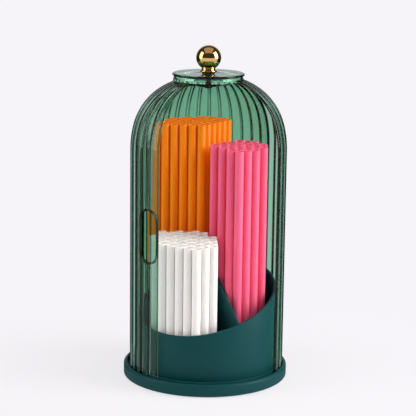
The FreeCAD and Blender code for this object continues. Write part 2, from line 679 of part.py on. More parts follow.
def main():
    nodes = [make_foot_disc(), make_foot_pads(), *make_pivot(), make_ball_cage(), make_bearing_balls()]
    nodes += [make_base_tray(), make_cup(), make_divider(), make_rear_shell(), make_door_shell()]
    nodes += [*make_top(), *make_knob()]
    nodes.append(make_straws("white", "(0 - wing_spread)", "wing_spread"))
    nodes.append(make_straws("pink", "wing_spread", "180"))
    nodes.append(make_straws("orange", "(0 - wing_spread)", "(0 - 180)"))
    doc.recompute()
    for item in doc.Objects:
        if {"Invalid", "Error"} & set(item.State):
            raise SystemExit(f"{item.Name} did not build: {item.State}")
    for node in nodes:
        if node.Shape.isNull() or not node.Shape.isValid() or not node.Shape.Solids:
            raise SystemExit(f"{node.Label} has no valid shape")
    os.makedirs("parts", exist_ok=True)
    for node in nodes:
        node.Shape.exportStep(f"parts/{node.Label}.step")
        box = node.Shape.BoundBox
        print(f"{node.Label:15s} solids {len(node.Shape.Solids):3d}  volume {node.Shape.Volume:10.1f}  "
              f"x {box.XMin:7.2f} {box.XMax:7.2f}  y {box.YMin:7.2f} {box.YMax:7.2f}  "
              f"z {box.ZMin:7.2f} {box.ZMax:7.2f}")


main()
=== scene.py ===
import math
import random

import bpy
from mathutils import Matrix, Vector


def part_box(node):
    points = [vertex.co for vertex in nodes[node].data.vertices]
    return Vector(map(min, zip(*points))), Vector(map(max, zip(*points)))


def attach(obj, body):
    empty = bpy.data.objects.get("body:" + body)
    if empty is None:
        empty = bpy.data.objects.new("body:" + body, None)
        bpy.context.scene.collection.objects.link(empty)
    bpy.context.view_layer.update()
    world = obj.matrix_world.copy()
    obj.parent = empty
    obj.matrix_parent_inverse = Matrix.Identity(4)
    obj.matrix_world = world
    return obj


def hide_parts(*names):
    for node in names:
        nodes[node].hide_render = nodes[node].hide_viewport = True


# The looks of a domed straw organiser: fluted tinted shells over a satin tray and cup,
# a gilt knob and three bundles of drinking straws. Metres, +Z up, front along -Y.
# Angles are in degrees from +X towards +Y.

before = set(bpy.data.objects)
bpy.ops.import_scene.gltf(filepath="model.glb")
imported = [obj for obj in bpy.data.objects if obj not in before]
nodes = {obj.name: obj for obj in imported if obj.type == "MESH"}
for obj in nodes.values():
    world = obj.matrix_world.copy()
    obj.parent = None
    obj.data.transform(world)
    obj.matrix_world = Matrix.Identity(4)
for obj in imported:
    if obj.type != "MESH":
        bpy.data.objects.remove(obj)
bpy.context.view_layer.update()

MM = 0.001
TURN_STEPS = 144           # faces round a turned piece
RIM_STEPS = 192            # faces round the tray and the cup
SEAM = 0.005 * MM          # corners nearer than this are one
HAIR = 0.01 * MM           # play for comparing two sizes

# ------------------------------------------------------------------ sizes

FLUTE = 9.0                # degrees from one valley to the next
FLUTE_COLUMNS = 10
FLUTE_DEPTH = 0.9 * MM
FLUTE_GATHERING, FLUTE_ROUNDNESS = 1.5, 3
SHELL_WALL, SHELL_EDGE_ROUND = 1.6 * MM, 0.25 * MM
REAR_FLUTES, REAR_START = 19, 4.5
DOOR_FLUTES, DOOR_START = 22, 65.5

# The door's dome, bottom to top: upright to STRAIGHT_TOP, then a shoulder arc and a crown arc.
STRAIGHT_TOP = 210.0 * MM
SHOULDER_RADIUS, SHOULDER_TURN = 90.3 * MM, 13.9
CROWN_RADIUS = 55.0 * MM
UPRIGHT_ROWS, SHOULDER_ROWS, CROWN_ROWS = 8, 6, 22
RING_RADIUS = 31.5 * MM
HUB_RING_RADIUS = 20.5 * MM

DOOR_LOW, DOOR_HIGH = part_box("door_shell")
REAR_LOW, REAR_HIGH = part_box("rear_shell")
DOOR_RADIUS = -DOOR_LOW.x
REAR_RADIUS = REAR_HIGH.y
TAB_LENGTH = 1.8 * MM
REAR_FOOT = REAR_LOW.z + TAB_LENGTH
DOOR_FOOT = DOOR_LOW.z

DISC_LOW, DISC_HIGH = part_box("top_disc")
DISC_THICKNESS = 2.2 * MM
SCREW_BORE = 2.2 * MM
BUSH_BORE = 7.05 * MM

STOP_CIRCLE, STOP_AZIMUTH = 15.5 * MM, 90.0
STOP_RADIUS, STOP_CLEARANCE = 1.5 * MM, 0.4 * MM
DOOR_OPENING, DOOR_CLOSING = 74.5, 105.5

PULL_AZIMUTH = 252.3
PULL_HEIGHT, PULL_WIDTH, PULL_LENGTH = 138.4 * MM, 23.6 * MM, 48 * MM
PULL_DEPTH, PULL_RIM, PULL_FLOOR, PULL_CHAMFER = 2.0 * MM, 1.2 * MM, 1.4 * MM, 0.5 * MM
PULL_STEPS = 24            # faces round each end of the pull

CAMERA_AZIMUTH = 31.5      # from the front towards +X
BEHIND = (-math.sin(math.radians(CAMERA_AZIMUTH)), math.cos(math.radians(CAMERA_AZIMUTH)), 0.0)

# The crown arc's centre, as radius and height.
CROWN_RADIAL = DOOR_RADIUS - SHOULDER_RADIUS + (SHOULDER_RADIUS - CROWN_RADIUS) * math.cos(
    math.radians(SHOULDER_TURN))
CROWN_HEIGHT = STRAIGHT_TOP + (SHOULDER_RADIUS - CROWN_RADIUS) * math.sin(math.radians(SHOULDER_TURN))

RIM_MIDDLE, RIM_SLOPE = 73.5 * MM, 19.2     # the cup's slanted rim at the axis, and its slope in degrees

STRAW_RADIUS, STRAW_WALL = 4.0 * MM, 0.4 * MM
STRAW_STEPS = 28           # faces round a straw
LATTICE_REACH = 8          # rows of straws looked through on each side of a bundle's middle

# Each bundle: its azimuth, distance from the axis, pitch and turn of its lattice; its seed; how much
# lower its front straws stand; its two tones; and how much light its thin walls let through.
BUNDLES = {
    "white": ((270.0, 32.0 * MM, 8.6 * MM, 3.5), 5, 4.0 * MM, ("#F8F3F0", "#F4EFEB"), 0.15),
    "pink": ((30.0, 21.0 * MM, 8.4 * MM, 1.5), 6, 0.0, ("#FC688C", "#FA6488"), 0.15),
    "orange": ((150.0, 33.5 * MM, 8.2 * MM, 26.5), 7, 0.0, ("#FF8602", "#FC8201"), 0.10),
}


# ------------------------------------------------------------------ modelling by hand

def around(angle, radius, height):
    """A point at an azimuth in degrees, a distance from the axis and a height."""
    return Vector((radius * math.cos(math.radians(angle)), radius * math.sin(math.radians(angle)), height))


def arc(centre, radius, start, end, steps):
    """Points of an arc in an upright plane, as radius and height, by angles from level."""
    points = []
    for step in range(steps + 1):
        angle = math.radians(start + (end - start) * step / steps)
        points.append((centre[0] + radius * math.cos(angle), centre[1] + radius * math.sin(angle)))
    return points


def deselect():
    if bpy.context.object and bpy.context.object.mode != "OBJECT":
        bpy.ops.object.mode_set(mode="OBJECT")
    bpy.ops.object.select_all(action="DESELECT")


def pick(*pieces):
    deselect()
    for piece in pieces:
        piece.select_set(True)
    bpy.context.view_layer.objects.active = pieces[0]


def edit(piece, select="SELECT"):
    pick(piece)
    bpy.ops.object.mode_set(mode="EDIT")
    bpy.ops.mesh.select_all(action=select)


def done():
    bpy.ops.object.mode_set(mode="OBJECT")


def drawn_line(name, points):
    """One vertex, extruded from corner to corner; the piece stays in edit mode, all selected."""
    deselect()
    bpy.ops.mesh.primitive_plane_add(size=MM, location=(0, 0, 0))
    piece = bpy.context.object
    piece.name = piece.data.name = name
    bpy.ops.object.mode_set(mode="EDIT")
    bpy.ops.mesh.select_all(action="SELECT")
    bpy.ops.mesh.merge(type="CENTER")
    bpy.ops.transform.translate(value=points[0])
    for start, end in zip(points, points[1:]):
        bpy.ops.mesh.extrude_vertices_move(TRANSFORM_OT_translate={"value": end - start})
    bpy.ops.mesh.select_all(action="SELECT")
    return piece


def close_seams():
    bpy.ops.mesh.select_all(action="SELECT")
    bpy.ops.mesh.remove_doubles(threshold=SEAM)
    bpy.ops.mesh.normals_make_consistent(inside=False)


def turned(name, outline, steps=TURN_STEPS, angle=360.0, start=0.0):
    """A line of (radius, height) corners spun round the axis."""
    piece = drawn_line(name, [around(start, radius, height) for radius, height in outline])
    bpy.ops.mesh.spin(steps=steps, angle=math.radians(angle), center=(0, 0, 0), axis=(0, 0, -1))
    close_seams()
    done()
    return piece


def modify(piece, kind, **settings):
    pick(piece)
    modifier = piece.modifiers.new(kind.title(), kind)
    for key, setting in settings.items():
        setattr(modifier, key, setting)
    bpy.ops.object.modifier_apply(modifier=modifier.name)


def soften(piece, width, angle=40.0, segments=2):
    modify(piece, "BEVEL", width=width, segments=segments, limit_method="ANGLE",
           angle_limit=math.radians(angle), harden_normals=False, use_clamp_overlap=True)


def smooth(piece, angle=38.0):
    pick(piece)
    bpy.ops.object.shade_smooth_by_angle(angle=math.radians(angle))


def joined(*pieces):
    pick(*pieces)
    bpy.ops.object.join()
    return pieces[0]


def azimuth_of(point):
    return math.degrees(math.atan2(point.y, point.x)) % 360


# ------------------------------------------------------------------ fluted shells

def dome_outline(offset, foot):
    """The outer line of a shell at an offset from the door's, from its foot to the collar's ring."""
    shoulder = (DOOR_RADIUS - SHOULDER_RADIUS, STRAIGHT_TOP)
    crown = (CROWN_RADIAL, CROWN_HEIGHT)
    crown_end = math.degrees(math.acos((RING_RADIUS - CROWN_RADIAL) / (CROWN_RADIUS + offset)))
    upright = [(DOOR_RADIUS + offset, foot + (STRAIGHT_TOP - foot) * row / UPRIGHT_ROWS)
               for row in range(UPRIGHT_ROWS)]
    return (upright + arc(shoulder, SHOULDER_RADIUS + offset, 0, SHOULDER_TURN, SHOULDER_ROWS)
            + arc(crown, CROWN_RADIUS + offset, SHOULDER_TURN, crown_end, CROWN_ROWS)[1:])


def outward(radius, height):
    """The direction, as radius and height, in which a dome's surface faces at a point."""
    if height <= STRAIGHT_TOP:
        return Vector((1.0, 0.0))
    shoulder = Vector((radius - DOOR_RADIUS + SHOULDER_RADIUS, height - STRAIGHT_TOP))
    if math.degrees(shoulder.angle(Vector((1.0, 0.0)))) <= SHOULDER_TURN:
        return shoulder.normalized()
    return Vector((radius - CROWN_RADIAL, height - CROWN_HEIGHT)).normalized()


def press_flutes(shell, start, rim_height):
    """Gathers the columns towards the valleys and presses each flute round, from the foot to the ring."""
    for vertex in shell.data.vertices:
        place = vertex.co
        radius = math.hypot(place.x, place.y)
        share = ((azimuth_of(place) - start) / FLUTE) % 1.0
        across = 2 * share - 1
        gathered = math.copysign(1 - (1 - abs(across)) ** FLUTE_GATHERING, across)
        angle = azimuth_of(place) + (gathered - across) / 2 * FLUTE
        if radius >= RING_RADIUS - HAIR and place.z <= rim_height:
            facing = outward(radius, place.z)
            depth = FLUTE_DEPTH * abs(gathered) ** FLUTE_ROUNDNESS
            radius -= facing.x * depth
            place.z -= facing.y * depth
        vertex.co = around(angle, radius, place.z)


def fluted_shell(name, offset, foot, flutes, start, plate_height, rings):
    """
    A shell's wall and top plate as one surface: walls get their thickness afterwards. The plate is
    a full round within the first ring, and outside it as wide as the wall.
    """
    outline = dome_outline(offset, foot)
    rim_height = outline[-1][1] + HAIR
    if plate_height > rim_height:
        outline.append((RING_RADIUS, plate_height))
    if rings[0] < RING_RADIUS:
        outline.append((rings[0], plate_height))
    wall = turned(name, outline, steps=flutes * FLUTE_COLUMNS, angle=flutes * FLUTE, start=start)
    columns = round(360 / FLUTE) * FLUTE_COLUMNS
    plate = turned(f"{name}_plate", [(radius, plate_height) for radius in rings], steps=columns,
                   start=start)
    shell = joined(wall, plate)
    edit(shell)
    close_seams()
    done()
    press_flutes(shell, start, rim_height)
    return shell


def thicken_shell(shell):
    outer = max(shell.data.polygons, key=lambda face: math.hypot(face.center.x, face.center.y))
    if outer.normal.dot(Vector((outer.center.x, outer.center.y, 0))) < 0:
        edit(shell)
        bpy.ops.mesh.flip_normals()
        done()
    modify(shell, "SOLIDIFY", thickness=SHELL_WALL, offset=-1, use_even_offset=True, use_rim=True)
    soften(shell, SHELL_EDGE_ROUND, angle=70)


def make_rear_shell():
    plate_height = DISC_LOW.z
    shell = fluted_shell("rear_dome", REAR_RADIUS - DOOR_RADIUS, REAR_FOOT, REAR_FLUTES, REAR_START,
                         plate_height, [RING_RADIUS, SCREW_BORE])
    thicken_shell(shell)
    # The stub hangs under the plate and through the slot of the door's hub ring.
    under, stop_end = plate_height - SHELL_WALL, DOOR_HIGH.z - SHELL_WALL
    stop = drawn_line("door_stop", [Vector((0, 0, under)), Vector((STOP_RADIUS, 0, under)),
                                    Vector((STOP_RADIUS, 0, stop_end)), Vector((0, 0, stop_end))])
    bpy.ops.mesh.spin(steps=24, angle=math.tau, center=(0, 0, 0), axis=(0, 0, -1))
    close_seams()
    bpy.ops.transform.translate(value=around(STOP_AZIMUTH, STOP_CIRCLE, 0))
    done()
    shell = joined(shell, stop)
    smooth(shell)
    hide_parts("rear_shell")
    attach(shell, "organiser")
    return shell


def pull_block(name, outset, near, far):
    """A block with round ends across the door's wall at the pull, between two distances from the axis."""
    half, straight = PULL_WIDTH / 2 + outset, (PULL_LENGTH - PULL_WIDTH) / 2
    rim = [Vector((0, x, PULL_HEIGHT + straight + z)) for x, z in arc((0, 0), half, 0, 180, PULL_STEPS)]
    rim += [Vector((0, x, PULL_HEIGHT - straight + z))
            for x, z in arc((0, 0), half, 180, 360, PULL_STEPS)]
    block = drawn_line(name, rim)
    bpy.ops.mesh.edge_face_add()
    bpy.ops.transform.translate(value=(near, 0, 0))
    bpy.ops.mesh.extrude_region_move(TRANSFORM_OT_translate={"value": (far - near, 0, 0)})
    close_seams()
    done()
    block.data.transform(Matrix.Rotation(math.radians(PULL_AZIMUTH), 4, "Z"))
    return block


def make_door_shell():
    slot_near = STOP_CIRCLE - STOP_RADIUS - STOP_CLEARANCE
    slot_far = STOP_CIRCLE + STOP_RADIUS + STOP_CLEARANCE
    shell = fluted_shell("sliding_door", 0.0, DOOR_FOOT, DOOR_FLUTES, DOOR_START,
                         DOOR_HIGH.z, [HUB_RING_RADIUS, slot_far, slot_near, BUSH_BORE])
    margin = math.degrees((STOP_RADIUS + STOP_CLEARANCE) / STOP_CIRCLE)
    first, last = STOP_AZIMUTH - DOOR_CLOSING - margin, STOP_AZIMUTH + DOOR_OPENING + margin
    edit(shell, "DESELECT")
    done()
    for face in shell.data.polygons:
        distance = math.hypot(face.center.x, face.center.y)
        turn = (azimuth_of(face.center) - first) % 360
        face.select = slot_near < distance < slot_far and turn < last - first
    bpy.ops.object.mode_set(mode="EDIT")
    bpy.ops.mesh.delete(type="FACE")
    done()
    thicken_shell(shell)
    floor = DOOR_RADIUS - PULL_DEPTH
    back = pull_block("pull_back", PULL_RIM, floor - PULL_FLOOR, DOOR_RADIUS - SHELL_WALL / 2)
    # A chamfer keeps the dish's floor flat to the light; a rounding would bend its normals.
    soften(back, PULL_CHAMFER, segments=1)
    hollow = pull_block("pull_hollow", 0, floor, DOOR_RADIUS + 3 * SHELL_WALL)
    modify(shell, "BOOLEAN", object=back, operation="UNION", solver="EXACT")
    modify(shell, "BOOLEAN", object=hollow, operation="DIFFERENCE", solver="EXACT")
    bpy.data.objects.remove(back)
    bpy.data.objects.remove(hollow)
    smooth(shell)
    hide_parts("door_shell")
    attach(shell, "door")
    return shell


def make_disc():
    radius, collar, wall, boss = DISC_HIGH.x, 30.8 * MM, 1.8 * MM, 13.0 * MM
    rounding, edge_round = 0.8 * MM, 0.2 * MM
    low, top = DISC_LOW.z, DISC_HIGH.z
    under = top - DISC_THICKNESS
    outline = [(SCREW_BORE, low), (boss, low), (boss, under), (collar - wall, under), (collar - wall, low),
               (collar, low), (collar, under)]
    outline += arc((radius - rounding, under + rounding), rounding, -90, 0, 5)
    outline += arc((radius - rounding, top - rounding), rounding, 0, 90, 5)
    outline += [(SCREW_BORE, top), (SCREW_BORE, low)]
    disc = turned("collar_disc", outline)
    soften(disc, edge_round, angle=60)
    smooth(disc)
    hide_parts("top_disc")
    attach(disc, "organiser")
    return disc


# ------------------------------------------------------------------ tray, cup and divider

def make_tray():
    low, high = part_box("base_tray")
    radius, top, foot = high.x, high.z, low.z
    cup_low, cup_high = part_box("cup")
    skirt, rounding, lip, skirt_round = 2.5 * MM, 2.6 * MM, 0.5 * MM, 0.8 * MM
    rim_gap, ledge_gap, cup_gap = 0.4 * MM, 0.3 * MM, 0.3 * MM
    ledge_drop, ledge_chamfer, floor = 0.4 * MM, 0.3 * MM, 3.0 * MM
    hub, hub_rise, bore = 6.5 * MM, 3.3 * MM, 2.0 * MM
    channel = REAR_FOOT
    rim_inner = REAR_RADIUS + rim_gap
    ledge_outer = DOOR_RADIUS - SHELL_WALL - ledge_gap
    ledge_inner, ledge_top = cup_high.x + cup_gap, top - ledge_drop
    underside, hub_foot = cup_low.z - floor, low.z + hub_rise
    outline = [(bore, hub_foot), (hub, hub_foot), (hub, underside), (radius - skirt, underside),
               (radius - skirt, foot)]
    outline += arc((radius - skirt_round, foot + skirt_round), skirt_round, -90, 0, 4)
    outline += arc((radius - rounding, top - rounding), rounding, 0, 90, 8)
    outline += arc((rim_inner + lip, top - lip), lip, 90, 180, 4)
    outline += [(rim_inner, channel), (ledge_outer, channel), (ledge_outer, ledge_top - ledge_chamfer),
                (ledge_outer - ledge_chamfer, ledge_top), (ledge_inner, ledge_top),
                (ledge_inner, cup_low.z), (bore, cup_low.z), outline[0]]
    tray = turned("turning_tray", outline, steps=RIM_STEPS)
    smooth(tray)
    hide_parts("base_tray")
    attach(tray, "organiser")
    return tray


def make_cup():
    low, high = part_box("cup")
    radius, wall, floor = high.x, 2.0 * MM, 2.0 * MM
    rounding, rim_round, spare = 1.2 * MM, 0.45 * MM, 10 * MM
    tall = high.z + spare      # turned too tall, then cut along the slanted rim
    outline = [(0, low.z)] + arc((radius - rounding, low.z + rounding), rounding, -90, 0, 4)
    outline += [(radius, tall), (radius - wall, tall), (radius - wall, low.z + floor), (0, low.z + floor)]
    cup = turned("slanted_cup", outline, steps=RIM_STEPS)
    edit(cup)
    slope = math.radians(RIM_SLOPE)
    bpy.ops.mesh.bisect(plane_co=(0, 0, RIM_MIDDLE), plane_no=(0, -math.sin(slope), math.cos(slope)),
                        clear_outer=True, use_fill=False)
    bpy.ops.mesh.bridge_edge_loops()
    close_seams()
    done()
    soften(cup, rim_round, angle=50)
    smooth(cup)
    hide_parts("cup")
    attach(cup, "organiser")
    return cup


def make_divider():
    low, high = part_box("divider")
    thickness, edge_round, peak = 1.8 * MM, 0.4 * MM, high.z
    reach = high.y
    wings = []
    for azimuth in (-30.0, 210.0, 90.0):
        rim = RIM_MIDDLE + reach * math.sin(math.radians(azimuth)) * math.tan(math.radians(RIM_SLOPE))
        corners = [(0, low.z), (reach, low.z), (reach, rim), (0, peak)]
        side = around(azimuth + 90, thickness / 2, 0)
        wing = drawn_line(f"wing_{len(wings)}", [around(azimuth, x, z) - side for x, z in corners])
        bpy.ops.mesh.edge_face_add()
        bpy.ops.mesh.extrude_region_move(TRANSFORM_OT_translate={"value": 2 * side})
        close_seams()
        done()
        soften(wing, edge_round, angle=50)
        wings.append(wing)
    divider = joined(*wings)
    divider.name = divider.data.name = "three_wing_divider"
    smooth(divider)
    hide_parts("divider")
    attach(divider, "organiser")
    return divider


# ------------------------------------------------------------------ knob

def make_knob():
    low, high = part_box("knob")
    foot, ball = low.z, 11.1 * MM
    centre = high.z - ball
    neck, ring, ring_height = 6.0 * MM, 7.7 * MM, 1.5 * MM
    waist_height, neck_height, neck_flare = 0.7 * MM, 1.3 * MM, 0.3 * MM
    bore, bore_depth = 2.0 * MM, 8.0 * MM
    ring_low = foot + waist_height
    ring_high = ring_low + ring_height
    hole = foot + bore_depth
    ball_start = -math.degrees(math.acos(neck / ball))
    # The foot's bead and the waist above it, as radius and height in mm over the foot or under the ring.
    bead = ((6.1, 0.0), (6.2, 0.1), (6.2, 0.2), (6.1, 0.3))
    waist = ((5.9, 0.1), (5.8, 0.05))
    outline = [(bore, foot)] + [(radius * MM, foot + rise * MM) for radius, rise in bead]
    outline += [(radius * MM, ring_low - drop * MM) for radius, drop in waist]
    outline += arc((ring - ring_height / 2, ring_low + ring_height / 2), ring_height / 2, -90, 90, 8)
    outline += [(neck + neck_flare, ring_high + neck_height * 0.5), (neck, ring_high + neck_height)]
    outline += arc((0, centre), ball, ball_start, 90, 40)
    outline += [(0, hole), (bore, hole), (bore, foot)]
    knob = turned("gilt_knob", outline)
    smooth(knob, 30)
    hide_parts("knob")
    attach(knob, "organiser")
    return knob


# ------------------------------------------------------------------ drinking straws

def straw_places(node, azimuth, circle, pitch, lattice_turn):
    """The spots of a close-packed lattice at which the bundle of the frame has a straw."""
    walls = [vertex.co.xy for vertex in nodes[node].data.vertices]
    middle = around(azimuth, circle, 0).xy
    turn = Matrix.Rotation(math.radians(lattice_turn), 2)
    places = []
    steps = range(-LATTICE_REACH, LATTICE_REACH + 1)
    for line in steps:
        for step in steps:
            spot = Vector(((step + (line % 2) / 2) * pitch, line * pitch * math.sin(math.radians(60))))
            place = middle + turn @ spot
            if any(abs((wall - place).length - STRAW_RADIUS) < 2 * HAIR for wall in walls):
                places.append(place)
    return places


def make_straws(name, node, places, seed, sag):
    """
    One open tube, modelled once and copied to each place, with its cut end a little higher or lower;
    the tops of the front ones stand lower by the sag.
    """
    low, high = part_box(node)
    chance = random.Random(seed)
    inner = STRAW_RADIUS - STRAW_WALL
    lip, unevenness = 0.12 * MM, 0.6 * MM
    straws = []
    ahead = [-place.dot(Vector(BEHIND[:2])) for place in places]
    for place, forward in zip(places, ahead):
        drop = chance.uniform(0, unevenness) + sag * (forward - min(ahead)) / (max(ahead) - min(ahead))
        if straws:
            straw = straws[0].copy()
            straw.data = straws[0].data.copy()
            bpy.context.scene.collection.objects.link(straw)
        else:
            outline = [(inner, low.z), (STRAW_RADIUS, low.z), (STRAW_RADIUS, high.z - lip),
                       (STRAW_RADIUS - lip, high.z), (inner + lip, high.z), (inner, high.z - lip),
                       (inner, low.z)]
            straw = turned(name, outline, steps=STRAW_STEPS)
            smooth(straw, 50)
        straws.append(straw)
        straw["spot"] = (place.x, place.y, drop)
    for straw in straws:
        x, y, drop = straw["spot"]
        middle = (low.z + high.z) / 2
        for vertex in straw.data.vertices:
            vertex.co.z -= drop if vertex.co.z > middle else 0
        straw.data.transform(Matrix.Translation((x, y, 0)))
    bundle = joined(*straws)
    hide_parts(node)
    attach(bundle, "organiser")
    return bundle


# ------------------------------------------------------------------ materials

def linear(colour):
    """An sRGB hex colour as linear values with full alpha."""
    channels = [int(colour[index:index + 2], 16) / 255 for index in (1, 3, 5)]
    return [c / 12.92 if c <= 0.04045 else ((c + 0.055) / 1.055) ** 2.4 for c in channels] + [1.0]


def add_node(material, kind, settings=None, links=None):
    """Adds a node, sets its properties and sockets, and links its inputs from other sockets."""
    node = material.node_tree.nodes.new(kind)
    for key, setting in (settings or {}).items():
        if isinstance(key, str) and hasattr(node, key):
            setattr(node, key, setting)
        else:
            node.inputs[key].default_value = setting
    for key, source in (links or {}).items():
        material.node_tree.links.new(source, node.inputs[key])
    return node


def new_material(name):
    """A material with one Principled shader; returns it and the shader."""
    material = bpy.data.materials.new(name)
    material.use_nodes = True
    return material, material.node_tree.nodes["Principled BSDF"]


def object_place(material):
    return add_node(material, "ShaderNodeTexCoord").outputs["Object"]


def noise(material, grain, detail=2.0, place=None):
    """Noise with features of a real size, in metres, over the piece."""
    return add_node(material, "ShaderNodeTexNoise", {"Scale": 1 / grain, "Detail": detail},
                    {"Vector": place or object_place(material)}).outputs["Fac"]


def between(material, source, low, high, first, last):
    """Maps a value from one range to another, clamped."""
    return add_node(material, "ShaderNodeMapRange",
                    {"From Min": low, "From Max": high, "To Min": first, "To Max": last},
                    {"Value": source}).outputs["Result"]


def blend_colours(material, share, first, second):
    return add_node(material, "ShaderNodeMix", {"data_type": "RGBA", 6: linear(first), 7: linear(second)},
                    {0: share}).outputs[2]


def bumpy(material, shader, height, distance):
    bump = add_node(material, "ShaderNodeBump", {"Distance": distance}, {"Height": height})
    material.node_tree.links.new(bump.outputs["Normal"], shader.inputs["Normal"])


def wear(shader, material, low, high, grain):
    """Roughness that varies a little over the surface."""
    rough = between(material, noise(material, grain), 0.3, 0.7, low, high)
    material.node_tree.links.new(rough, shader.inputs["Roughness"])


def satin_abs():
    """Injection-moulded ABS, spark-eroded to a fine satin: deep teal, even, with a soft sheen."""
    material, shader = new_material("satin_moulded_abs")
    cloud = noise(material, 30 * MM)
    shader.inputs["IOR"].default_value = 1.53
    shader.inputs["Specular IOR Level"].default_value = 0.12
    colour = blend_colours(material, cloud, "#0C4143", "#0E4648")
    material.node_tree.links.new(colour, shader.inputs["Base Color"])
    wear(shader, material, 0.40, 0.48, 4 * MM)
    # The spark-eroded grain is about 0.1 mm; it is drawn at 0.5 mm to show at all.
    bumpy(material, shader, noise(material, 0.5 * MM), 0.02 * MM)
    return material


def dome_facing(material, place):
    """How far a dome's wall, taken without its flutes, is turned from the eye: 0 face-on to 1 edge-on."""
    corners = add_node(material, "ShaderNodeSeparateXYZ", None, {"Vector": place}).outputs
    # The line outward starts to tip up a little below the shoulder, and by less than the wall does.
    level, tip = STRAIGHT_TOP - 20 * MM, 0.45
    above = add_node(material, "ShaderNodeMath", {"operation": "SUBTRACT", 1: level},
                     {0: corners["Z"]}).outputs["Value"]
    above = add_node(material, "ShaderNodeMath", {"operation": "MAXIMUM", 1: 0.0},
                     {0: above}).outputs["Value"]
    rise = add_node(material, "ShaderNodeMath", {"operation": "MULTIPLY", 1: tip},
                    {0: above}).outputs["Value"]
    outward_line = add_node(material, "ShaderNodeCombineXYZ", None,
                            {"X": corners["X"], "Y": corners["Y"], "Z": rise}).outputs["Vector"]
    unit = add_node(material, "ShaderNodeVectorMath", {"operation": "NORMALIZE"},
                    {0: outward_line}).outputs["Vector"]
    turned_unit = add_node(material, "ShaderNodeVectorTransform",
                           {"vector_type": "VECTOR", "convert_from": "OBJECT", "convert_to": "WORLD"},
                           {"Vector": unit}).outputs["Vector"]
    return add_node(material, "ShaderNodeLayerWeight", {"Blend": 0.5},
                    {"Normal": turned_unit}).outputs["Facing"]


def pull_edge_painted_shade(material, place):
    """1 along the edge of the finger pull's dish and 0 a little away from it: the mask of a painted shade
    line there.
    """
    towards, along = around(PULL_AZIMUTH, 1.0, 0.0), around(PULL_AZIMUTH + 90, 1.0, 0.0)
    # The distance from the dish's middle line, up and down only past its straight part.
    height = add_node(material, "ShaderNodeSeparateXYZ", None, {"Vector": place}).outputs["Z"]
    away = height
    for settings in ({"operation": "SUBTRACT", 1: PULL_HEIGHT}, {"operation": "ABSOLUTE"},
                     {"operation": "SUBTRACT", 1: (PULL_LENGTH - PULL_WIDTH) / 2},
                     {"operation": "MAXIMUM", 1: 0.0}):
        away = add_node(material, "ShaderNodeMath", settings, {0: away}).outputs["Value"]
    sideways = add_node(material, "ShaderNodeVectorMath", {"operation": "DOT_PRODUCT", 1: along},
                        {0: place}).outputs["Value"]
    reach = add_node(material, "ShaderNodeCombineXYZ", None, {"X": sideways, "Y": away}).outputs["Vector"]
    gap = add_node(material, "ShaderNodeVectorMath", {"operation": "LENGTH"}, {0: reach}).outputs["Value"]
    for settings in ({"operation": "SUBTRACT", 1: PULL_WIDTH / 2}, {"operation": "ABSOLUTE"}):
        gap = add_node(material, "ShaderNodeMath", settings, {0: gap}).outputs["Value"]
    # Only on the pull's side of the dome.
    depth = add_node(material, "ShaderNodeVectorMath", {"operation": "DOT_PRODUCT", 1: towards},
                     {0: place}).outputs["Value"]
    return add_node(material, "ShaderNodeMath", {"operation": "MULTIPLY"},
                    {0: between(material, gap, 0.5 * MM, 1.0 * MM, 1.0, 0.0),
                     1: between(material, depth, 55 * MM, 57 * MM, 0.0, 1.0)}).outputs["Value"]


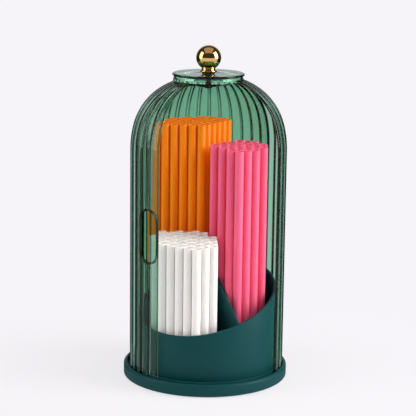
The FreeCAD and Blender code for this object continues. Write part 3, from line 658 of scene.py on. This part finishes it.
def tinted_polystyrene(name, tints, start=None):
    """
    Polished, tinted clear polystyrene: green through its faces. Painted shade makes it near black along its
    valleys, the finger pull's edge and its edge-on outline, and deepens its tint at a slant, partly for the
    longer path through the tint.
    """
    material, shader = new_material(name)
    shader.inputs["Transmission Weight"].default_value = 1.0
    shader.inputs["IOR"].default_value = 1.3
    wear(shader, material, 0.02, 0.05, 12 * MM)
    place = object_place(material)
    colour = blend_colours(material, noise(material, 20 * MM, place=place), *tints)
    if start is not None:
        turned_place = add_node(material, "ShaderNodeMapping", {"Rotation": (0, 0, -math.radians(start))},
                                {"Vector": place}).outputs["Vector"]
        round_share = add_node(material, "ShaderNodeTexGradient", {"gradient_type": "RADIAL"},
                               {"Vector": turned_place}).outputs["Fac"]
        # Painted shade: the flutes' phase marks a dark line along each valley, darker where the wall is seen
        # at a slant.
        flutes = add_node(material, "ShaderNodeMath", {"operation": "MULTIPLY", 1: 360 / FLUTE},
                          {0: round_share}).outputs["Value"]
        valley = add_node(material, "ShaderNodeMath", {"operation": "PINGPONG", 1: 0.5},
                          {0: flutes}).outputs["Value"]
        # Painted shade: where the wall turns from the eye its tint deepens, partly from the longer path
        # through the tint, and the painted valley line grows wider and darker.
        facing = dome_facing(material, place)
        slant_tint_and_shade = add_node(material, "ShaderNodeMix", {"data_type": "RGBA", 7: linear("#7FB39B")},
                          {0: between(material, facing, 0.15, 0.45, 0.0, 0.6), 6: colour}).outputs[2]
        breadth = between(material, facing, 0.15, 0.60, 0.02, 0.20)
        past_valley = add_node(material, "ShaderNodeMath", {"operation": "SUBTRACT"},
                               {0: valley, 1: breadth}).outputs["Value"]
        painted_valley_mask = between(material, past_valley, 0.0, 0.06, 1.0, 0.0)
        painted_valley_colour = blend_colours(material, between(material, facing, 0.15, 0.50, 0.0, 1.0),
                                  "#5F8D79", "#0A1A13")
        colour = add_node(material, "ShaderNodeMix", {"data_type": "RGBA"},
                          {0: painted_valley_mask, 6: slant_tint_and_shade, 7: painted_valley_colour}).outputs[2]
        # Painted shade: near black along the dome's outline, where it is seen edge-on.
        painted_edge_shade = between(material, facing, 0.78, 0.95, 0.0, 1.0)
        # On the door, painted shade also runs along the finger pull's edge.
        if start == DOOR_START:
            painted_edge_shade = add_node(material, "ShaderNodeMath", {"operation": "MAXIMUM"},
                               {0: painted_edge_shade, 1: pull_edge_painted_shade(material, place)}).outputs["Value"]
    else:
        # Painted shade darkens the disc's rim, partly standing for the real deeper tint along its whole
        # breadth.
        across = add_node(material, "ShaderNodeVectorMath", {"operation": "MULTIPLY", 1: (1.0, 1.0, 0.0)},
                          {0: place}).outputs["Vector"]
        reach = add_node(material, "ShaderNodeVectorMath", {"operation": "LENGTH"},
                         {0: across}).outputs["Value"]
        painted_edge_shade = between(material, reach, DISC_HIGH.x - 1.0 * MM, DISC_HIGH.x - 0.5 * MM, 0.0, 1.0)
    # The painted edge shade mixes the colour towards near black.
    colour = add_node(material, "ShaderNodeMix", {"data_type": "RGBA", 7: linear("#14251E")},
                      {0: painted_edge_shade, 6: colour}).outputs[2]
    material.node_tree.links.new(colour, shader.inputs["Base Color"])
    # The lamps' and the room's light reaches what stands behind the clear plastic.
    path = add_node(material, "ShaderNodeLightPath").outputs
    is_light = add_node(material, "ShaderNodeMath", {"operation": "MAXIMUM"},
                        {0: path["Is Shadow Ray"], 1: path["Is Diffuse Ray"]}).outputs["Value"]
    clear = add_node(material, "ShaderNodeBsdfTransparent", {"Color": linear("#F0F5F3")})
    mixed = add_node(material, "ShaderNodeMixShader", None,
                     {0: is_light, 1: shader.outputs["BSDF"], 2: clear.outputs["BSDF"]})
    output = material.node_tree.nodes["Material Output"]
    material.node_tree.links.new(mixed.outputs["Shader"], output.inputs["Surface"])
    return material


def gilt_brass():
    """Turned brass, gilt and polished: a mirror with faint turning marks."""
    material, shader = new_material("polished_gilt_brass")
    shader.inputs["Metallic"].default_value = 1.0
    colour = blend_colours(material, noise(material, 8 * MM), "#E0A63E", "#E6AE48")
    material.node_tree.links.new(colour, shader.inputs["Base Color"])
    wear(shader, material, 0.03, 0.05, 3 * MM)
    shader.inputs["Coat Weight"].default_value = 1.0
    shader.inputs["Coat Roughness"].default_value = 0.03
    shader.inputs["Coat IOR"].default_value = 2.0
    return material


def straw_plastic(name, light, dark, glow):
    """Extruded polypropylene straw: waxy, with a soft edge glow where the thin wall lets light through."""
    material, shader = new_material(name)
    streaks = add_node(material, "ShaderNodeMapping", {"Scale": (1, 1, 0.03)},
                       {"Vector": object_place(material)}).outputs["Vector"]
    colour = blend_colours(material, noise(material, 20 * MM, place=streaks), light, dark)
    material.node_tree.links.new(colour, shader.inputs["Base Color"])
    shader.inputs["IOR"].default_value = 1.49
    shader.inputs["Specular IOR Level"].default_value = 0.15
    shader.inputs["Subsurface Weight"].default_value = glow
    shader.inputs["Subsurface Radius"].default_value = (1.0, 0.6, 0.4)
    shader.inputs["Subsurface Scale"].default_value = 1.0 * MM
    wear(shader, material, 0.30, 0.38, 5 * MM)
    return material


def black_abs():
    """Moulded black ABS: satin, nearly plain."""
    material, shader = new_material("moulded_black_abs")
    colour = blend_colours(material, noise(material, 15 * MM), "#161819", "#1E2122")
    material.node_tree.links.new(colour, shader.inputs["Base Color"])
    wear(shader, material, 0.42, 0.52, 4 * MM)
    bumpy(material, shader, noise(material, 0.6 * MM), 0.02 * MM)
    return material


def pad_rubber():
    """Die-cut rubber: matt, with a fine open grain."""
    material, shader = new_material("die_cut_rubber")
    colour = blend_colours(material, noise(material, 2 * MM), "#1B1B1B", "#2A2928")
    material.node_tree.links.new(colour, shader.inputs["Base Color"])
    wear(shader, material, 0.80, 0.92, 2 * MM)
    bumpy(material, shader, noise(material, 0.4 * MM), 0.05 * MM)
    return material


def nylon():
    """Natural nylon, moulded: milky, waxy."""
    material, shader = new_material("natural_nylon")
    colour = blend_colours(material, noise(material, 5 * MM), "#E6E2D6", "#EEEBE1")
    material.node_tree.links.new(colour, shader.inputs["Base Color"])
    shader.inputs["Subsurface Weight"].default_value = 0.1
    shader.inputs["Subsurface Scale"].default_value = 1.0 * MM
    wear(shader, material, 0.38, 0.48, 3 * MM)
    return material


def steel(name, colours, rough):
    """Steel, turned or drawn, then ground, plated or blackened: fine marks from the tool show through."""
    material, shader = new_material(name)
    shader.inputs["Metallic"].default_value = 1.0
    marks = add_node(material, "ShaderNodeMapping", {"Scale": (1, 1, 8)},
                     {"Vector": object_place(material)}).outputs["Vector"]
    cloud = noise(material, 2 * MM, place=marks)
    material.node_tree.links.new(blend_colours(material, cloud, *colours), shader.inputs["Base Color"])
    wear(shader, material, rough[0], rough[1], 1 * MM)
    return material


def dress(piece, material):
    piece.data.materials.clear()
    piece.data.materials.append(material)
    for face in piece.data.polygons:
        face.material_index = 0


# ------------------------------------------------------------------ the object

rear_dome = make_rear_shell()
sliding_door = make_door_shell()
collar_disc = make_disc()
turning_tray = make_tray()
slanted_cup = make_cup()
divider = make_divider()
gilt_knob = make_knob()
for colour, (spot, seed, sag, tones, glow) in BUNDLES.items():
    places = straw_places(f"{colour}_straws", *spot)
    bundle = make_straws(f"{colour}_bundle", f"{colour}_straws", places, seed, sag)
    dress(bundle, straw_plastic(f"{colour}_polypropylene", *tones, glow))

abs_teal = satin_abs()
for piece in (turning_tray, slanted_cup, divider):
    dress(piece, abs_teal)
dress(rear_dome, tinted_polystyrene("tinted_polystyrene_rear", ("#9ECBB6", "#A4D0BB"), REAR_START))
dress(sliding_door, tinted_polystyrene("tinted_polystyrene_door", ("#AED8C4", "#B3DCC9"), DOOR_START))
dress(collar_disc, tinted_polystyrene("tinted_polystyrene_disc", ("#C6F4DB", "#CCF6E0")))
dress(gilt_knob, gilt_brass())

# The inner parts, each as its solid gives it.
INNER_FINISHES = (
    (black_abs(), ("foot_disc", "hub_bush", "slip_washers", "knob_gasket")),
    (pad_rubber(), ("foot_pads",)),
    (steel("ground_bearing_steel", ("#B4B6B9", "#C2C4C6"), (0.10, 0.16)), ("bearing_balls",)),
    (steel("zinc_plated_steel", ("#A9ABAD", "#B9BBBD"), (0.28, 0.36)), ("pivot_screw", "pivot_washer")),
    (steel("blackened_steel", ("#1D1F20", "#2A2C2D"), (0.35, 0.45)), ("screw_washer", "knob_screw")),
    (nylon(), ("pivot_bush", "ball_cage")),
)
for finish, names in INNER_FINISHES:
    for name in names:
        dress(nodes[name], finish)

# ------------------------------------------------------------------ stage, lights and camera

CAMERA_DISTANCE = 1340.3 * MM
CAMERA_HEIGHT = 441.6 * MM
CAMERA_TILT = 12.05
CAMERA_ROLL = 0.733
CAMERA_PAN = -0.046
CAMERA_LENS, CAMERA_FILM = 130.8, 36
LAMP_AIM = 0.18            # height at which the lamps point
BACKGROUND = "#F6F4F8"
CARD = (BEHIND[0] * math.cos(math.radians(CAMERA_TILT)), BEHIND[1] * math.cos(math.radians(CAMERA_TILT)),
        math.sin(math.radians(CAMERA_TILT)))


def stage_material():
    """A white sheet: lit by the lamps near the object, and plain pale to the eye further out."""
    material, shader = new_material("white_card")
    shader.inputs["Base Color"].default_value = linear("#F2F1F3")
    shader.inputs["Roughness"].default_value = 0.9
    path = add_node(material, "ShaderNodeLightPath").outputs
    seen = add_node(material, "ShaderNodeMath", {"operation": "MAXIMUM"},
                    {0: path["Is Camera Ray"], 1: path["Is Glossy Ray"]}).outputs["Value"]
    seen = add_node(material, "ShaderNodeMath", {"operation": "MAXIMUM"},
                    {0: seen, 1: path["Is Transmission Ray"]}).outputs["Value"]
    distance = add_node(material, "ShaderNodeVectorMath", {"operation": "LENGTH"},
                        {0: object_place(material)}).outputs["Value"]
    plain = between(material, distance, 0.10, 0.30, 0.74, 1.0)
    share = add_node(material, "ShaderNodeMath", {"operation": "MULTIPLY"},
                     {0: seen, 1: plain}).outputs["Value"]
    pale = add_node(material, "ShaderNodeEmission", {"Color": linear(BACKGROUND), "Strength": 1.0})
    mixed = add_node(material, "ShaderNodeMixShader", None,
                     {0: share, 1: shader.outputs["BSDF"], 2: pale.outputs["Emission"]})
    # Painted reflection: behind the object the sheet shows a dark patch to mirrored rays only, standing for
    # a dark cloth, so that polished edges mirror dark.
    beyond = add_node(material, "ShaderNodeVectorMath", {"operation": "DOT_PRODUCT", 1: BEHIND},
                      {0: object_place(material)}).outputs["Value"]
    mirrored = add_node(material, "ShaderNodeMath", {"operation": "SUBTRACT", "use_clamp": True},
                        {0: path["Is Glossy Ray"], 1: path["Is Transmission Ray"]}).outputs["Value"]
    painted_dark_reflection = add_node(material, "ShaderNodeMath", {"operation": "MULTIPLY"},
                     {0: mirrored, 1: between(material, beyond, -0.10, 0.05, 0.0, 1.0)}).outputs["Value"]
    dark = add_node(material, "ShaderNodeEmission", {"Color": linear("#1E2422"), "Strength": 1.0})
    mixed = add_node(material, "ShaderNodeMixShader", None,
                     {0: painted_dark_reflection, 1: mixed.outputs["Shader"], 2: dark.outputs["Emission"]})
    material.node_tree.links.new(mixed.outputs["Shader"],
                                 material.node_tree.nodes["Material Output"].inputs["Surface"])
    return material


def make_stage():
    deselect()
    bpy.ops.mesh.primitive_circle_add(vertices=96, radius=14, fill_type="NGON", location=(0, 0, 0))
    floor = bpy.context.object
    floor.name = "white_sheet"
    dress(floor, stage_material())


def make_lamp(name, azimuth, elevation, distance, width, height, power):
    """A rectangular softbox that faces the dome; the azimuth is from the camera's side."""
    aim = Vector((0, 0, LAMP_AIM))
    place = aim + distance * Vector((
        math.sin(math.radians(azimuth + CAMERA_AZIMUTH)) * math.cos(math.radians(elevation)),
        -math.cos(math.radians(azimuth + CAMERA_AZIMUTH)) * math.cos(math.radians(elevation)),
        math.sin(math.radians(elevation))))
    lamp = bpy.data.lights.new(name, "AREA")
    lamp.shape = "RECTANGLE"
    lamp.size, lamp.size_y, lamp.energy = width, height, power
    holder = bpy.data.objects.new(name, lamp)
    holder.location = place
    holder.rotation_euler = (aim - place).to_track_quat("-Z", "Y").to_euler()
    holder.visible_camera = False
    bpy.context.scene.collection.objects.link(holder)


def make_world():
    """
    Pale to the eye. The object is lit by a dim, even room, and mirrors a dark one with a pale card
    high behind the object.
    """
    world = bpy.data.worlds.new("studio")
    bpy.context.scene.world = world
    world.use_nodes = True
    tree = world.node_tree
    room = tree.nodes["Background"]
    room.inputs["Color"].default_value = linear("#FFFFFF")
    room.inputs["Strength"].default_value = 0.45
    path = add_node(world, "ShaderNodeLightPath").outputs
    pale = add_node(world, "ShaderNodeBackground", {"Color": linear(BACKGROUND), "Strength": 1.0})
    seen = add_node(world, "ShaderNodeMath", {"operation": "MAXIMUM"},
                    {0: path["Is Camera Ray"], 1: path["Is Transmission Ray"]}).outputs["Value"]
    towards_card = add_node(world, "ShaderNodeVectorMath", {"operation": "DOT_PRODUCT", 1: CARD},
                            {0: add_node(world, "ShaderNodeTexCoord").outputs["Generated"]}).outputs["Value"]
    wall = add_node(world, "ShaderNodeBackground", {"Color": linear(BACKGROUND)},
                    {"Strength": between(world, towards_card, 0.86, 0.95, 0.06, 0.7)})
    mirrored = add_node(world, "ShaderNodeMixShader", None,
                        {0: path["Is Glossy Ray"], 1: room.outputs["Background"],
                         2: wall.outputs["Background"]})
    mixed = add_node(world, "ShaderNodeMixShader", None,
                     {0: seen, 1: mirrored.outputs["Shader"], 2: pale.outputs["Background"]})
    tree.links.new(mixed.outputs["Shader"], tree.nodes["World Output"].inputs["Surface"])


def make_camera():
    camera = bpy.data.objects.new("camera", bpy.data.cameras.new("camera"))
    camera.data.lens = CAMERA_LENS
    camera.data.sensor_width = CAMERA_FILM
    camera.data.clip_end = 100
    azimuth = math.radians(CAMERA_AZIMUTH)
    place = Vector((math.sin(azimuth), -math.cos(azimuth), 0)) * CAMERA_DISTANCE
    place.z = CAMERA_HEIGHT
    turn = (Matrix.Rotation(azimuth + math.radians(CAMERA_PAN), 4, "Z")
            @ Matrix.Rotation(math.radians(90 - CAMERA_TILT), 4, "X")
            @ Matrix.Rotation(math.radians(CAMERA_ROLL), 4, "Z"))
    camera.matrix_world = Matrix.Translation(place) @ turn
    bpy.context.scene.collection.objects.link(camera)
    bpy.context.scene.camera = camera


make_stage()
make_world()
make_lamp("softbox_right", 78, 22, 1.15, 0.62, 1.0, 15)
make_lamp("softbox_left", -78, 22, 1.15, 0.62, 1.0, 6)
make_lamp("softbox_top", 0, 80, 1.3, 1.5, 1.5, 3)
make_camera()

bpy.context.scene.view_settings.view_transform = "Standard"
